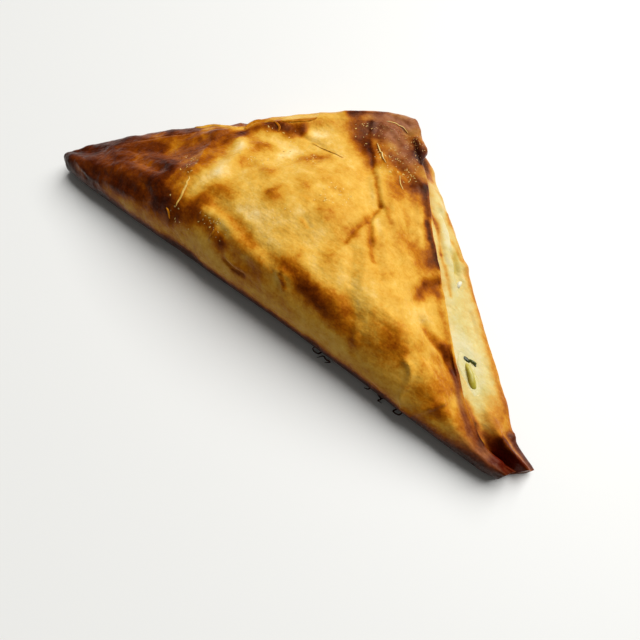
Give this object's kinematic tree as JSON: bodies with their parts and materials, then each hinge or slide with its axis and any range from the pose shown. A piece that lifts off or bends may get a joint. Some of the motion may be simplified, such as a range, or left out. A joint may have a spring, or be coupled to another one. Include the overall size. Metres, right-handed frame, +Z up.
{
  "type": "spanakopita",
  "caption": "Large folded triangle of baked filo pastry with a spinach and feta filling that shows through a small tear beside its open edge.",
  "frame": {"origin": "middle of the footprint box, on the surface it rests on", "axes": "+X along the long folded side towards the open tip, +Y towards the blunt square corner, +Z up"},
  "size_m": [0.2, 0.0991, 0.0272],
  "materials": {
    "pastry": "baked filo: glossy golden with deep brown and burnt patches",
    "filling": "moist cooked spinach with feta"
  },
  "bodies": {
    "root": {"pastry": "pastry", "filling": "filling"}
  },
  "joints": []
}
